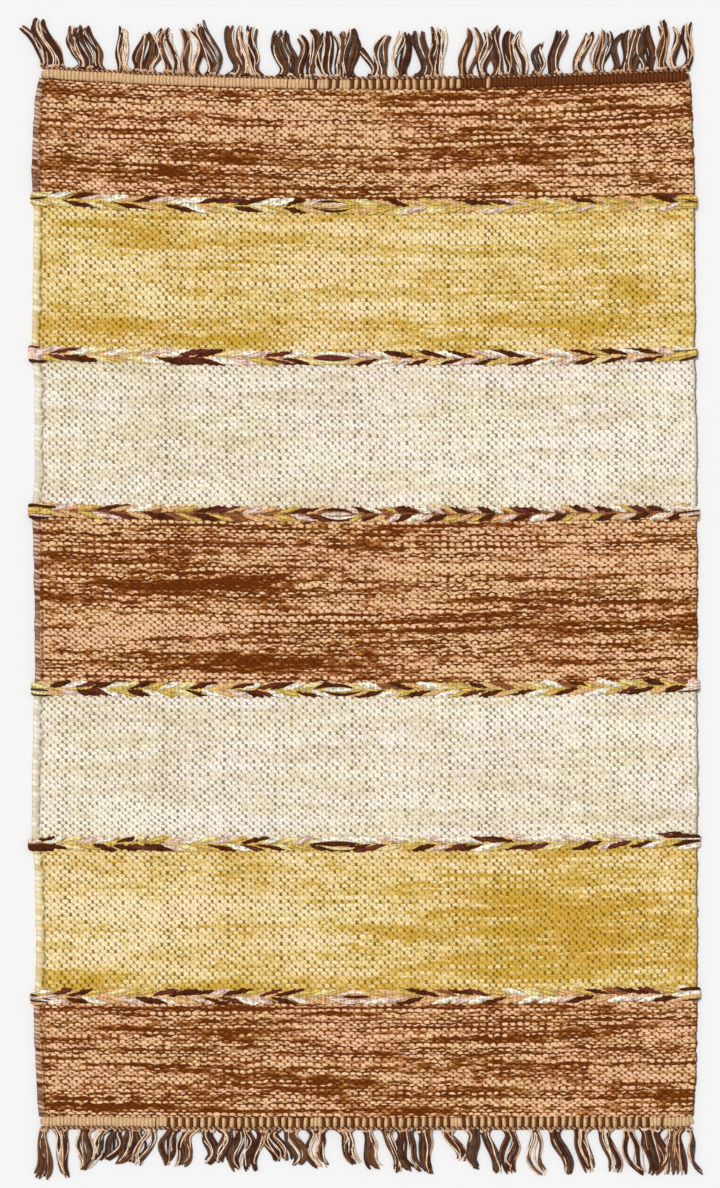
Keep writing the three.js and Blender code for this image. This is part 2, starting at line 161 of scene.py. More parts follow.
def woven_stripe(index, picks, seed):
    """A stripe as a lattice of warps u by picks v, two steps to each. The top is
    CLOTH - RELIEF (1 - c) with c = (1 - du^2 - FLATTEN dv^2 + SLANT du dv)^ROUNDNESS about the
    nearest float, so it peaks where u and v are both even or both odd and pits in between. Beside a
    braid it dips by DIP e^-(distance / DIP_REACH)^2. At the left it turns into a round cord, a wrap
    for each EDGE_WRAP picks, and at the right it turns down, but never under RIM_LEAST. The
    underside is the same lattice at one step to each, a product of cosines that is 0 at its crests.
    The rim is closed by faces that share the top's edge points. Gives the points, the faces, u and
    v, how many cord widths each point lies in from the left, and how far round the right turn."""
    rng = np.random.default_rng(seed)
    down, across = half_steps(picks, PICK_STEPS, rng), half_steps(WARPS, WARP_STEPS, rng)
    rows, columns = len(down), len(across)
    y_mid = LINES[index, 0] + (LINES[index + 1, 0] - LINES[index, 0]) * down
    inside = np.sin(np.pi * down)[:, None] ** 0.5
    fade = np.minimum(1, np.minimum(across, 1 - across) / SIDE_FADE)[None, :]

    def wander(parts, own_seed):
        return drift(rows, columns, parts, seed + own_seed)

    def along_edge(parts, own_seed):
        return drift(rows, 2, (parts, 1), seed + own_seed)

    wavy = along_edge(rows // 5, 600) * inside
    _, _, left, right = line_values(y_mid)
    left, right = left + LEFT_SWAY * wavy[:, 0], right + RIGHT_SWAY * wavy[:, 1]
    each = (picks, WARPS)
    x = left[:, None] + (right - left)[:, None] * across[None, :]
    x = x + SWAY_X * wander(SWAY_X_PARTS, 100) * fade
    x = x + STRAY_X * wander(each, 150) * fade
    y = lay(x, y_mid[:, None])
    y = y + SWAY_Y * wander(SWAY_Y_PARTS, 200) * inside
    y = y + STRAY_Y * wander(each, 500) * inside

    u, v = np.meshgrid(np.arange(columns) / 2, np.arange(rows) / 2)
    away = np.inf
    for nearest in (lambda n: 2 * np.round(n / 2), lambda n: 2 * np.floor(n / 2) + 1):
        du, dv = u - nearest(u), v - nearest(v)
        away = np.minimum(away, du**2 + FLATTEN * dv**2 - SLANT * du * dv)
    top = CLOTH - RELIEF * (1 - np.clip(1 - away, 0, 1) ** ROUNDNESS)
    top += STRAY_Z * wander(each, 300)
    top += SWAY_Z * wander(SWAY_Z_PARTS, 400)
    for end, line in ((0, index), (-1, index + 1)):
        if 0 < line < len(LINES) - 1:
            top -= DIP * np.exp(-(((y_mid - y_mid[end])[:, None] / DIP_REACH) ** 2))

    # The left selvedge's cord, with a groove along its inner side, and the right one's turn.
    cord_wide = EDGE_CORD * (1 + CORD_VARIES * along_edge(picks // 2, 700)[:, :1])
    inset = (x - left[:, None]) / cord_wide
    on_cord = np.clip((1 - inset) * 5, 0, 1)
    crown = np.clip(1 - (2 * inset - 1) ** 2, 0, 1)
    wraps = np.abs(np.cos(np.pi * v / EDGE_WRAP))
    cord = CORD_FOOT + CORD_RISE * np.sqrt(crown) - WRAP_RELIEF * (1 - wraps) * crown
    cord += CORD_BUMPS * along_edge(picks, 800)[:, :1]
    top = top * (1 - on_cord) + cord * on_cord
    top -= GROOVE_DEEP * np.exp(-(((inset - GROOVE_AT) / GROOVE_HALF) ** 2))
    turn = np.clip(1 - (right[:, None] - x) / EDGE_TURN, 0, 1)
    top -= TURN_DROP * turn**2
    top = np.maximum(top, RIM_LEAST)

    def every_other(field):
        """What the underside has of its own: every second value, without the rim's."""
        return field[::2, ::2][1:-1, 1:-1].ravel()

    def at_points(field):
        return np.concatenate([field.ravel(), every_other(field)])

    under = UNDERSIDE / 2 * (1 - np.cos(np.pi * u) * np.cos(np.pi * v))
    z = np.concatenate([top.ravel(), every_other(under)])
    points = places(at_points(x), at_points(y), z)

    number = np.arange(rows * columns).reshape(rows, columns)
    low = number[::2, ::2].copy()
    low[1:-1, 1:-1] = rows * columns + np.arange((picks - 1) * (WARPS - 1)).reshape(picks - 1, -1)
    under_cells = cells(low)[..., [0, 3, 2, 1]]
    faces = cells(number).reshape(-1, 4).tolist() + under_cells[1:-1, 1:-1].reshape(-1, 4).tolist()
    # Rim faces take the rim's half steps in as a fifth corner, or a sixth at the four corners.
    for i in range(picks):
        for j in range(WARPS) if i in (0, picks - 1) else (0, WARPS - 1):
            a, b, c, d = under_cells[i, j].tolist()
            face = [a] + ([int(number[0, 2 * j + 1])] if i == 0 else [])
            face += [b] + ([int(number[2 * i + 1, -1])] if j == WARPS - 1 else [])
            face += [c] + ([int(number[-1, 2 * j + 1])] if i == picks - 1 else [])
            face += [d] + ([int(number[2 * i + 1, 0])] if j == 0 else [])
            faces.append(face)
    uv = places(at_points(u), at_points(v))
    return points, faces, uv, at_points(np.clip(inset, 0, 3)), at_points(turn)


# Soft areas where the dye runs darker (positive) or paler (negative), and one thin strip along the
# whole far end beside the heading that darkens the cloth there: stripe number, x, y, half width and
# half height in mm, and strength.
TONES = np.array([
    (1, 0, 459, 400, 6, 0.45), (1, -150, 440, 150, 22, -0.3), (1, -180, 384, 150, 20, 0.35),
    (1, 270, 384, 60, 20, -0.3), (2, 0, 290, 900, 150, 0.1), (2, -230, 333, 90, 14, 0.6),
    (2, -220, 240, 130, 16, 0.7), (2, -220, 298, 110, 18, -0.7), (2, 120, 325, 110, 14, -0.5),
    (2, 180, 260, 120, 26, 0.4), (3, 150, 130, 110, 32, -0.8), (3, 280, 190, 40, 60, -0.5),
    (4, -180, 12, 170, 8, 0.7), (4, -240, -30, 90, 13, -0.7), (4, 230, -26, 110, 6, 0.9),
    (4, -120, -56, 140, 7, 0.6), (4, 200, 30, 140, 14, -0.4), (5, 180, -110, 140, 26, -0.6),
    (5, -200, -200, 140, 18, -0.6), (6, 180, -300, 150, 45, 1.1), (6, -190, -285, 130, 34, -0.9),
    (6, -150, -350, 170, 9, 0.7), (7, -200, -452, 150, 7, 0.3), (7, 0, -415, 900, 120, 0.08),
])


def tone_at(stripe, points):
    """The sum over a stripe's soft areas of strength e^-(distance in half sizes)^2."""
    total = np.zeros(len(points))
    for _, x, y, wide, high, strength in TONES[TONES[:, 0] == stripe + 1]:
        away = ((points[:, 0] - x) / wide) ** 2 + ((points[:, 1] - y) / high) ** 2
        total += strength * np.exp(-away)
    return total


def new_group(name, inputs, outputs):
    """An empty shader node group with its sockets, and its input and output nodes."""
    group = bpy.data.node_groups.new(name, "ShaderNodeTree")
    for direction, labels in (("INPUT", inputs), ("OUTPUT", outputs)):
        for label in labels:
            group.interface.new_socket(label, in_out=direction, socket_type="NodeSocketFloat")
    return group, group.nodes.new("NodeGroupInput"), group.nodes.new("NodeGroupOutput")


class Wiring:
    """Adds nodes to a tree in short lines. A number or a socket may be given for each input."""

    def __init__(self, tree):
        self.tree = tree

    def feed(self, socket, value):
        if isinstance(value, bpy.types.NodeSocket):
            self.tree.links.new(value, socket)
        elif value is not None:
            socket.default_value = value

    def node(self, kind, settings=None, **values):
        made = self.tree.nodes.new(kind)
        for key, value in (settings or {}).items():
            setattr(made, key, value)
        for key, value in values.items():
            self.feed(made.inputs[key], value)
        return made

    def group(self, tree, **values):
        return self.node("ShaderNodeGroup", {"node_tree": tree}, **values).outputs

    def attribute(self, name):
        return self.node("ShaderNodeAttribute", {"attribute_name": name}).outputs["Fac"]

    def yarn_place(self):
        """The piece's own UV: along the yarn, or warps, and round the yarn, or picks."""
        place = self.node("ShaderNodeUVMap", {"uv_map": "yarn"}).outputs[0]
        parts = self.node("ShaderNodeSeparateXYZ", Vector=place).outputs
        return parts[0], parts[1]

    def sums(self, operation, a, b=None, c=None):
        made = self.tree.nodes.new("ShaderNodeMath")
        made.operation = operation
        for socket, value in zip(made.inputs, (a, b, c)):
            self.feed(socket, value)
        return made.outputs[0]

    def times(self, a, b, plus=None):
        return self.sums("MULTIPLY" if plus is None else "MULTIPLY_ADD", a, b, plus)

    def arches(self, value, pitch, wave="SINE"):
        """|sin(pi value / pitch)|, or the same with a cosine."""
        return self.sums("ABSOLUTE", self.sums(wave, self.times(value, math.pi / pitch)))

    def chance(self, number):
        """A random value from 0 to 1 for each whole number."""
        chance = self.node("ShaderNodeTexWhiteNoise", {"noise_dimensions": "1D"}, W=number)
        return chance.outputs["Value"]

    def noise(self, x, y, z, detail=0.0):
        """Noise at x, y and z, where x and y are each a value and its number of bumps to a unit."""
        place = self.node("ShaderNodeCombineXYZ", X=self.times(*x), Y=self.times(*y), Z=z)
        made = self.node("ShaderNodeTexNoise", Vector=place.outputs[0], Scale=1.0, Detail=detail)
        return made.outputs["Fac"]

    def step(self, value, low, high, out_low=0.0, out_high=1.0):
        """A smooth step from out_low to out_high while the value goes from low to high."""
        made = self.node("ShaderNodeMapRange", {"interpolation_type": "SMOOTHSTEP"})
        for socket, number in zip(made.inputs, (value, low, high, out_low, out_high)):
            self.feed(socket, number)
        return made.outputs[0]

    def blend(self, factor, a, b, mode="MIX"):
        made = self.node("ShaderNodeMix", {"data_type": "RGBA", "blend_type": mode})
        for socket, value in ((made.inputs[0], factor), (made.inputs[6], a), (made.inputs[7], b)):
            self.feed(socket, value)
        return made.outputs[2]

    def shaded(self, colour, shade):
        """A colour times a grey."""
        grey = self.node("ShaderNodeCombineColor", Red=shade, Green=shade, Blue=shade).outputs[0]
        return self.blend(1.0, colour, grey, "MULTIPLY")


def linear(colour):
    """An sRGB colour of three 0 to 255 numbers as a linear RGBA tuple."""
    parts = [c / 255 for c in colour]
    return tuple(p / 12.92 if p < 0.04045 else ((p + 0.055) / 1.055) ** 2.4 for p in parts) + (1,)


def floats_group():
    """The pick of the float of the weave that a point is on, and where on it the point is. Floats
    centre where warp u and pick v are both even or both odd. A point is on the one with the smaller
    du^2 + FLATTEN dv^2 - SLANT du dv, which is also how deep in a pit it is."""
    group, source, sink = new_group("weave floats", ["U", "V"], ["Pick", "Across", "Down", "Pit"])
    w = Wiring(group)

    def even_and_odd(value):
        half = w.times(value, 0.5)
        even = w.times(w.sums("ROUND", half), 2.0)
        odd = w.times(w.sums("FLOOR", half), 2.0, 1.0)
        return even, odd, w.sums("SUBTRACT", value, even), w.sums("SUBTRACT", value, odd)

    def distance(du, dv):
        return w.times(w.times(dv, dv), FLATTEN, w.times(du, w.times(dv, -SLANT, du)))

    _, _, du_even, du_odd = even_and_odd(source.outputs["U"])
    pick_even, pick_odd, dv_even, dv_odd = even_and_odd(source.outputs["V"])
    near_even, near_odd = distance(du_even, dv_even), distance(du_odd, dv_odd)
    on_odd = w.sums("LESS_THAN", near_odd, near_even)
    for label, even, odd in (
        ("Pick", pick_even, pick_odd),
        ("Across", du_even, du_odd),
        ("Down", dv_even, dv_odd),
    ):
        w.feed(sink.inputs[label], w.times(w.sums("SUBTRACT", odd, even), on_odd, even))
    w.feed(sink.inputs["Pit"], w.sums("MINIMUM", near_even, near_odd))
    return group


def yarn_group():
    """Fine detail of soft two-ply cotton: slanting ply lines at a given pitch along the yarn and
    loose fibre, as one height, and a mottle of the dye from 0 to 1."""
    group, source, sink = new_group("cotton yarn", ["Along", "Over", "Turns"], ["Height", "Mottle"])
    w = Wiring(group)
    leaning = w.times(source.outputs["Over"], -0.6, source.outputs["Along"])
    turn = w.times(leaning, source.outputs["Turns"])
    ply = w.times(w.sums("SINE", w.times(turn, 2 * math.pi)), 0.5, 0.5)
    place = w.node("ShaderNodeTexCoord").outputs["Object"]
    fibre = w.node("ShaderNodeTexNoise", Vector=place, Scale=2600.0, Detail=3.0, Roughness=0.7)
    mottle = w.node("ShaderNodeTexNoise", Vector=place, Scale=900.0, Detail=2.0, Roughness=0.6)
    w.feed(sink.inputs["Height"], w.times(fibre.outputs["Fac"], 0.7, ply))
    w.feed(sink.inputs["Mottle"], mottle.outputs["Fac"])
    return group


FLOATS = floats_group()
YARN = yarn_group()


def cotton_shader(w, colour, height, distance):
    """The dull cotton finish that the woven and twisted pieces share, with bumps of distance mm."""
    bump = w.node("ShaderNodeBump", Strength=0.7, Distance=distance * MM, Height=height)
    shader = w.node("ShaderNodeBsdfPrincipled", Roughness=0.93)
    shader.inputs["Specular IOR Level"].default_value = 0.05
    w.feed(shader.inputs["Base Color"], colour)
    w.feed(shader.inputs["Normal"], bump.outputs[0])
    w.node("ShaderNodeOutputMaterial", Surface=shader.outputs[0])


def new_material(name):
    """A material without nodes, and the wiring for its tree."""
    material = bpy.data.materials.new(name)
    material.use_nodes = True
    material.node_tree.nodes.clear()
    return material, Wiring(material.node_tree)


# Each dye family: its deep, middle and pale yarn colours, the colour of the painted shade in its
# pits, which also paints the shade in the lines between the cord's wraps, in the groove beside
# the cord and on the right selvedge's turn, the two colours of its selvedge cord, the width and
# strength of the painted shade lines between the cord's wraps, two tints it wanders between, the
# shares of the strand, shuttle, fleck and patch noises in its dye, the part of their sum over
# which deep turns to pale, how much darker towards its nearer side and paler towards its farther
# each float is painted, as painted shade and light, and how far from its float's middle a point
# must be to start and to end turning to the colour of the painted pit shade.
DYES = {
    "brown": dict(
        deep=(108, 52, 12),
        middle=(184, 118, 60),
        pale=(248, 203, 165),
        pit=(92, 40, 6),
        cord=((92, 44, 34), (232, 196, 172)),
        wraps=(1.0, 0.95),
        tints=((254, 249, 240), (253, 254, 238)),
        shares=(0.64, 0.10, 0.20, 0.08),
        sharp=(0.437, 0.54),
        under=0.055,
        pits=(0.34, 0.95),
    ),
    "gold": dict(
        deep=(212, 170, 66),
        middle=(241, 214, 146),
        pale=(253, 235, 195),
        pit=(106, 82, 14),
        cord=((220, 196, 138), (250, 240, 208)),
        wraps=(0.45, 0.45),
        tints=((255, 248, 238), (254, 253, 244)),
        shares=(0.28, 0.10, 0.22, 0.36),
        sharp=(0.37, 0.62),
        under=0.05,
        pits=(0.44, 0.98),
    ),
    "cream": dict(
        deep=(230, 214, 182),
        middle=(243, 231, 208),
        pale=(253, 247, 236),
        pit=(120, 108, 82),
        cord=((214, 200, 174), (246, 238, 222)),
        wraps=(0.45, 0.4),
        tints=((255, 251, 249), (255, 253, 244)),
        shares=(0.30, 0.10, 0.24, 0.30),
        sharp=(0.35, 0.61),
        under=0.05,
        pits=(0.44, 1.0),
    ),
}


def weft_material(name, family, seed):
    """Weft that was dyed in patches before weaving. Two or three strands lie in each pick, and each
    has its own noise along x. A slower noise is shared by one shuttle's picks, flecks are short,
    and patches spread over several picks. Each float is painted darker towards its nearer side and
    paler towards its farther, as painted shade and light. The pits between floats get painted
    shade, some more than others and more along some warps, and so do the lines between the cord's
    wraps, the groove beside the cord and the right selvedge's turn."""
    material, w = new_material(name)
    dye = DYES[family]
    u, v = w.yarn_place()
    lattice = w.group(FLOATS, U=u, V=v)
    pick, across, down = (lattice[label] for label in ("Pick", "Across", "Down"))

    stray = w.noise((u, 0.4), (pick, 3.1), seed + 1.0)
    strand = w.times(stray, 2.4, w.times(down, 1.2, -0.7))
    row = w.times(w.sums("ROUND", strand), 0.31, pick)
    shuttle = w.times(w.sums("FLOORED_MODULO", pick, 2.0), 40.0)
    ragged = w.times(w.sums("SINE", w.times(pick, 12.9)), 4.0, u)
    noises = (
        w.noise((u, 0.022), (row, 7.31), seed, detail=2.5),
        w.noise((u, 0.018), (pick, 0.15), shuttle),
        w.noise((u, 0.24), (row, 5.17), seed + 9.0),
        w.noise((ragged, 0.045), (pick, 0.2), seed + 3.0, detail=2.0),
    )
    # Painted shade and light: each float is darker towards its nearer side, by the family's under
    # share.
    mix = w.times(down, -dye["under"], w.times(w.attribute("tone"), -0.1))
    for share, noise in zip(dye["shares"], noises):
        mix = w.times(noise, share / sum(dye["shares"]), mix)
    ramp = w.node("ShaderNodeValToRGB", Fac=w.step(mix, *dye["sharp"]))
    ramp.color_ramp.elements[0].color = linear(dye["deep"])
    ramp.color_ramp.elements[1].color = linear(dye["pale"])
    ramp.color_ramp.elements.new(0.5).color = linear(dye["middle"])
    yarn = w.group(YARN, Along=across, Over=down, Turns=2.2)
    colour = w.shaded(ramp.outputs[0], w.step(yarn["Mottle"], 0.3, 0.7, 0.78, 1.14))
    hue = w.noise((u, 0.03), (v, 0.13), seed + 7.0)
    tint = w.blend(w.step(hue, 0.35, 0.65), *(linear(t) for t in dye["tints"]))
    colour = w.blend(1.0, colour, tint, "MULTIPLY")

    # The left selvedge: slanting wraps, with painted shade in the lines between them and in a
    # groove inside the cord.
    inset = w.attribute("edge")
    cloth = w.step(inset, 0.86, 1.0)
    cord = w.sums("SUBTRACT", 1.0, cloth)
    slant = w.times(inset, -0.4, w.times(v, 1 / EDGE_WRAP))
    own = w.chance(w.sums("FLOOR", slant))
    wrap_colour = w.blend(w.step(own, 0.1, 0.8), *(linear(c) for c in dye["cord"]))
    colour = w.blend(w.times(cord, 0.75), colour, wrap_colour)
    line_width, line_strength = dye["wraps"]
    line_strength = w.step(own, 0.0, 0.7, 0.3 * line_strength, line_strength)
    lines = w.times(w.step(w.arches(slant, 1.0), 0.0, line_width, line_strength, 0.0), cord)
    wander = w.times(w.noise((0.0, 0.0), (v, 0.7), seed), 0.3, inset)
    groove = w.step(w.sums("ABSOLUTE", w.sums("SUBTRACT", wander, 1.42)), 0.0, 0.42, 0.85, 0.0)
    breaks = w.noise((v, 0.8), (inset, 1.5), seed + 6.0)
    groove = w.times(groove, w.step(breaks, 0.35, 0.6, 0.35, 1.0))

    # Painted shade: the pits, the groove and lines, and the right selvedge's turn take the colour
    # of the painted pit shade.
    warp, course = w.sums("ROUND", u), w.sums("ROUND", v)
    chance = w.node("ShaderNodeTexWhiteNoise", {"noise_dimensions": "2D"})
    w.feed(chance.inputs["Vector"], w.node("ShaderNodeCombineXYZ", X=warp, Y=course).outputs[0])
    warp_luck = w.times(w.noise((warp, 3.7), (0.0, 0.0), 8.0), 0.75)
    odd_warp = w.times(w.sums("FLOORED_MODULO", warp, 2.0), 0.2)
    luck = w.times(chance.outputs["Value"], 0.6, w.sums("ADD", warp_luck, odd_warp))
    depth = w.times(luck, 0.5, w.sums("SUBTRACT", lattice["Pit"], 0.4))
    pit = w.times(w.step(depth, *dye["pits"], 0.0, 0.95), cloth)
    dark = w.sums("MAXIMUM", w.sums("MAXIMUM", pit, lines), groove)
    # Painted shade on the right selvedge's turned-down side.
    dark = w.sums("MAXIMUM", dark, w.times(w.attribute("rim"), 0.8))
    colour = w.blend(dark, colour, linear(dye["pit"]))

    hollow = w.times(w.sums("MINIMUM", w.sums("POWER", lattice["Pit"], 2.0), 1.0), cloth)
    hollow = w.sums("MAXIMUM", hollow, w.sums("MAXIMUM", lines, groove))
    hollow = w.times(w.sums("PINGPONG", strand, 0.5), 0.5, hollow)
    height = w.sums("SUBTRACT", w.times(yarn["Height"], 0.3), hollow)
    cotton_shader(w, colour, height, 0.6)
    return material


# The stripes from the far end: name, number of picks, dye family.
STRIPES = [
    ("stripe_1_brown", 40, "brown"),
    ("stripe_2_gold", 42, "gold"),
    ("stripe_3_cream", 44, "cream"),
    ("stripe_4_brown", 60, "brown"),
    ("stripe_5_cream", 44, "cream"),
    ("stripe_6_gold", 42, "gold"),
    ("stripe_7_brown", 42, "brown"),
]
for index, (name, picks, family) in enumerate(STRIPES):
    seed = 11 + index
    points, faces, uv, edge, rim = woven_stripe(index, picks, seed)
    # rim holds how far round the right turn each point lies, for the painted shade there.
    values = {"tone": tone_at(index, points), "edge": edge, "rim": rim}
    stripe = mesh_piece(name, points, faces, uv, values)
    stripe.data.materials.append(weft_material(name + "_cotton", family, float(seed)))
    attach(stripe, "root")
    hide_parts("woven_ground")

# ---- The twined braids -----------------------------------------------------------------------
# Between two stripes a pair of thick multicoloured wefts is twined across, turned one way in the
# upper row and the other way in the lower one, so the slanting floats meet in chevrons. The twist
# turns about a little left of mid-width and leaves an eye. Its wefts wrap round each selvedge.

BRAID_WIDE = 16.0  # across both rows, mm
EYE_ROOM = 12  # half length of the gap that the rows leave for the eye, mm
END_ROOM = 3.5  # how far the floats stop inside the selvedges, mm
# Heights of middles, and half thicknesses, of the core, the floats on top and those underneath, mm.
CORE_Z, CORE_HIGH = 2.9, 1.95
TOP_Z, TOP_HIGH = 4.7, 1.35
UNDER_Z, UNDER_HIGH = 1.2, 1.1
EYE_Z, EYE_HIGH = 5.0, 1.5  # the same two of the floats about an eye, mm
WRAP_HIGH = 1.3  # half thickness of the wefts round a selvedge, mm
WRAP_Z, WRAP_RISE = 3.1, 2.3  # middle and half height of their way round it, mm
LEFT_BULGE, RIGHT_BULGE = 3.4, 2.6  # how far they stand out there, mm
# Yarn colours by number.
BRAID_YARNS = [
    (84, 38, 18),  # 0 dark brown
    (250, 240, 218),  # 1 cream white
    (240, 208, 190),  # 2 dusty pink
    (222, 186, 98),  # 3 mustard
    (230, 182, 126),  # 4 tan
    (108, 50, 40),  # 5 maroon
    (238, 218, 156),  # 6 pale yellow
    (150, 92, 56),  # 7 mid brown
]
DARK_YARNS = (0, 5)  # pulled longer and thinner than the others
DARK_LONGER = 1.2
DARK_HALF, PALE_HALF = (1.9, 2.9), (2.3, 3.3)  # limits of the floats' half widths, mm
# One row for each braid: the colour of its core, the x of its eye, the advance of the floats left
# and right of the eye and their length left and right, mm, and the colours of the upper and of the
# lower floats from the eye to the left end and from the eye to the right end, used over and over.
BRAIDS = [
    (3, -31, (14.5, 15.0), (31, 32), "2011050112041", "4036064103", "36404343052", "3436263462"),
    (4, -30, (15.5, 14.5), (36, 30), "615216051261", "605321050163", "12103010210", "4012060203"),
    (7, -26, (14.0, 10.5), (32, 20), "403424503441", "523447303704", "2013501240", "3042012034"),
    (3, -24, (12.5, 13.5), (27, 27), "0610510420613", "103150241063", "617041630474", "4013041350"),
    (3, -24, (14.5, 14.5), (30, 30), "1261032612360", "0360510362050", "11216211502", "0563025013"),
    (4, -8, (15.0, 15.0), (31, 32), "363053020053", "241021502410", "3430705316", "1204121041"),
]
# The wefts that wrap each end, mm from the braid's line there: colour, y at the end, y where the
# weft goes into the braid, half width, and how far in that is.
LEFT_WRAPS = [
    [(6, 2.5, 4.0, 2.6, 16), (0, -0.8, 1.0, 0.9, 12), (6, -4.0, -4.5, 2.6, 15)],
    [(5, 6.2, 5.2, 0.9, 8), (2, 0.0, -1.8, 5.8, 12), (0, -7.4, -6.8, 1.3, 15)],
    [(0, 4.2, 2.6, 1.5, 24), (3, -0.6, -1.5, 3.0, 22), (2, -4.6, -5.6, 0.9, 20),
     (0, -7.0, -7.2, 1.2, 14)],
    [(6, 2.0, 2.0, 3.0, 15), (0, -1.8, -2.6, 0.9, 15), (6, -4.2, -4.6, 2.0, 14),
     (0, -6.6, -6.8, 0.8, 16)],
    [(2, 2.0, 1.2, 2.4, 10), (0, -3.8, -3.6, 3.2, 22), (5, -1.2, -0.6, 1.0, 14)],
    [(1, 3.6, 4.4, 1.7, 18), (0, 1.0, -3.4, 0.7, 17), (2, -1.6, 0.6, 1.5, 22),
     (0, -4.4, -5.0, 0.6, 14), (4, -6.4, -6.6, 1.5, 12)],
]
RIGHT_WRAPS = [
    [(3, 3.2, 3.6, 3.0, 20), (0, -0.2, 4.0, 0.8, 17), (3, -3.4, -3.0, 2.8, 16)],
    [(1, 5.0, 4.4, 0.8, 26), (3, 1.6, -2.0, 4.2, 24), (0, -2.4, -5.4, 1.1, 14),
     (0, 3.6, 2.6, 0.5, 20)],
    [(1, 3.0, 4.6, 1.9, 20), (0, 1.0, -1.0, 0.8, 18), (2, -1.4, -3.2, 1.7, 18),
     (0, -3.6, -4.4, 0.7, 8), (4, -5.6, -6.2, 1.7, 16)],
    [(2, 3.0, 3.0, 2.4, 9), (1, -0.4, 0.0, 1.3, 11), (2, -3.0, -3.4, 2.0, 9),
     (0, -5.2, -6.0, 0.7, 18)],
    [(0, 1.6, 3.2, 1.9, 26), (1, -0.2, 0.4, 0.9, 22), (0, -2.2, -4.6, 1.3, 24),
     (1, -5.6, -8.0, 2.4, 18)],
    [(0, 4.4, 4.0, 1.7, 17), (1, 0.8, -1.0, 2.4, 24), (4, -1.6, -2.2, 3.4, 12),
     (0, -4.8, -5.6, 0.8, 10)],
]
# The floats about each braid's eye: colour, offset of the middle in x and y, half length and half
# width, mm. A float whose middle is off the braid's line curves back to it at both ends.
EYES = [
    [(4, 0, 0.2, 15, 2.4), (0, -2, 4.8, 20, 1.0), (1, 4, 2.6, 15, 1.0), (0, 3, -4.4, 20, 1.1)],
    [(5, 0, 0.2, 17, 2.8), (1, -2, 4.6, 21, 1.8), (6, 3, -4.4, 22, 1.8)],
    [(2, 0, 0.2, 14, 2.0), (0, -2, 4.6, 18, 1.0), (1, 3, -3.8, 17, 1.5), (0, 2, -6.0, 17, 0.8)],
    [(1, 0, 0.2, 14, 2.3), (0, -2, 4.4, 19, 1.5), (0, 3, -4.2, 19, 1.3)],
    [(0, -4, 0.2, 22, 2.3), (1, -2, 4.6, 24, 2.4), (6, 3, -4.4, 21, 1.6)],
    [(0, 0, 0.2, 12, 2.0), (1, -2, 4.2, 16, 1.5), (2, 3, -4.2, 18, 1.8), (4, 6, 2.0, 16, 1.0)],
]


def unit(vectors):
    """Vectors of length 1 along the given ones."""
    return vectors / np.maximum(np.linalg.norm(vectors, axis=-1, keepdims=True), 1e-9)


def tubes_along(path, wide, high, sides, dyes, side=None, up=(0, 0, 1), lowest=0.0):
    """Closed tubes about paths of shape (tubes, rings, 3), elliptic with half sizes wide and high:
    path + cos(a) wide side + sin(a) high up. side is level and square to the path if none is given.
    Points under the lowest height are raised to it. Gives the points, UVs that hold the mm along
    the path and the share of the way around, and each point's dye number."""
    if side is None:
        side = unit(np.cross(up, np.gradient(path, axis=1)))
    angle = np.arange(sides) * 2 * np.pi / sides
    cos, sin = np.cos(angle)[:, None], np.sin(angle)[:, None]
    points = (
        path[:, :, None, :]
        + cos * (wide[..., None] * side)[:, :, None, :]
        + sin * (high[..., None] * up)[:, :, None, :]
    )
    points[..., 2] = np.maximum(points[..., 2], lowest)
    steps = np.linalg.norm(np.diff(path, axis=1), axis=-1)
    along = np.concatenate([np.zeros((len(path), 1)), np.cumsum(steps, axis=1)], axis=1)
    uv = places(along[:, :, None], np.arange(sides) / sides)
    return points, uv, np.repeat(np.ravel(dyes), path.shape[1] * sides)


